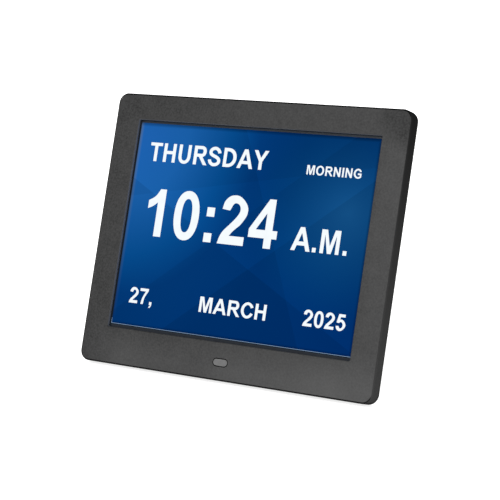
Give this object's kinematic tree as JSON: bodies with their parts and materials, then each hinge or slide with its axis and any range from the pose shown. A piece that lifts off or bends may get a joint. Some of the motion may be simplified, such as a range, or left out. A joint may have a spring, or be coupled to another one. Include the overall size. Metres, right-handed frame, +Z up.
{
  "type": "digital calendar clock",
  "caption": "Leaning digital calendar clock in a photo frame style housing, with a folding easel leg, rear keys and a lit display.",
  "frame": {"origin": "on the floor plane, under the centre of the bounding box of the standing clock", "axes": "+X to the right as the face is seen, +Y to the back, +Z up"},
  "size_m": [0.197, 0.0703, 0.1584],
  "materials": {
    "bezel_plastic": "fine matte grain",
    "cover_plastic": "fine matte grain",
    "display_glass": "semi-gloss lit display",
    "window_plastic": "smoked, glossy",
    "key_plastic": "satin",
    "leg_plastic": "fine matte grain",
    "foot_rubber": "matt",
    "screw_steel": "black zinc",
    "pin_steel": "turned",
    "washer_nylon": "natural nylon",
    "gasket_foam": "foam",
    "optical_sheet": "white optical sheet",
    "guide_acrylic": "clear acrylic",
    "frame_plastic": "white moulding",
    "tray_metal": "plain sheet",
    "board_laminate": "green solder mask",
    "flex_film": "amber film",
    "cable_film": "white ribbon",
    "chip_plastic": "moulded epoxy",
    "can_metal": "drawn can",
    "connector_plastic": "natural nylon",
    "socket_metal": "nickel-plated shell",
    "socket_plastic": "black moulding",
    "contact_brass": "bright",
    "cell_steel": "nickel-plated",
    "basket_metal": "black",
    "cone_paper": "pressed paper",
    "magnet_metal": "plated",
    "wire_red": "insulated wire"
  },
  "bodies": {
    "housing": {"front_bezel": "bezel_plastic", "lcd_glass": "display_glass", "ir_window": "window_plastic", "rear_cover": "cover_plastic", "sd_socket": "socket_metal", "usb_socket": "socket_metal", "dc_jack": "socket_plastic", "bezel_gasket": "gasket_foam", "diffuser_sheet": "optical_sheet", "light_guide": "guide_acrylic", "reflector_sheet": "optical_sheet", "backlight_led_bar": "frame_plastic", "lcd_mid_frame": "frame_plastic", "lcd_tray": "tray_metal", "panel_driver_board": "board_laminate", "panel_flexes": "flex_film", "ir_receiver": "chip_plastic", "ir_board": "board_laminate", "ir_flex": "cable_film", "rear_cover_screws": "screw_steel", "stand_pin": "pin_steel", "stand_pin_clip": "pin_steel", "stand_washers": "washer_nylon", "key_board": "board_laminate", "key_switches": "chip_plastic", "key_board_screws": "screw_steel", "main_board": "board_laminate", "main_board_standoffs": "contact_brass", "main_board_screws": "screw_steel", "main_processor": "chip_plastic", "memory_chips": "chip_plastic", "clock_crystal": "can_metal", "capacitors": "can_metal", "board_connectors": "connector_plastic", "coin_cell": "cell_steel", "coin_cell_holder": "socket_plastic", "usb_tongue": "socket_plastic", "dc_jack_pin": "contact_brass", "left_speaker_frame": "basket_metal", "left_speaker_cone": "cone_paper", "left_speaker_magnet": "magnet_metal", "right_speaker_frame": "basket_metal", "right_speaker_cone": "cone_paper", "right_speaker_magnet": "magnet_metal", "panel_cable": "cable_film", "key_cable": "cable_film", "left_speaker_wire": "wire_red", "right_speaker_wire": "wire_red"},
    "stand": {"stand_leg": "leg_plastic", "stand_foot": "foot_rubber"},
    "exit_key": {"exit_key": "key_plastic"},
    "right_key": {"right_key": "key_plastic"},
    "down_key": {"down_key": "key_plastic"},
    "up_key": {"up_key": "key_plastic"},
    "left_key": {"left_key": "key_plastic"},
    "menu_key": {"menu_key": "key_plastic"},
    "power_key": {"power_key": "key_plastic"}
  },
  "joints": [
    {"name": "stand_fold", "type": "hinge", "parent": "housing", "child": "stand", "pos_m": [0, 0.00894, 0.08927], "axis": [-1, 0, 0], "range_deg": [0, 29.4]},
    {"name": "exit_press", "type": "slide", "parent": "housing", "child": "exit_key", "axis": [0, -0.9593, 0.2823], "range_m": [0, 0.0006], "stiffness_N_per_m": 400},
    {"name": "right_press", "type": "slide", "parent": "housing", "child": "right_key", "axis": [0, -0.9593, 0.2823], "range_m": [0, 0.0006], "stiffness_N_per_m": 400},
    {"name": "down_press", "type": "slide", "parent": "housing", "child": "down_key", "axis": [0, -0.9593, 0.2823], "range_m": [0, 0.0006], "stiffness_N_per_m": 400},
    {"name": "up_press", "type": "slide", "parent": "housing", "child": "up_key", "axis": [0, -0.9593, 0.2823], "range_m": [0, 0.0006], "stiffness_N_per_m": 400},
    {"name": "left_press", "type": "slide", "parent": "housing", "child": "left_key", "axis": [0, -0.9593, 0.2823], "range_m": [0, 0.0006], "stiffness_N_per_m": 400},
    {"name": "menu_press", "type": "slide", "parent": "housing", "child": "menu_key", "axis": [0, -0.9593, 0.2823], "range_m": [0, 0.0006], "stiffness_N_per_m": 400},
    {"name": "power_press", "type": "slide", "parent": "housing", "child": "power_key", "axis": [0, -0.9593, 0.2823], "range_m": [0, 0.0006], "stiffness_N_per_m": 400}
  ]
}
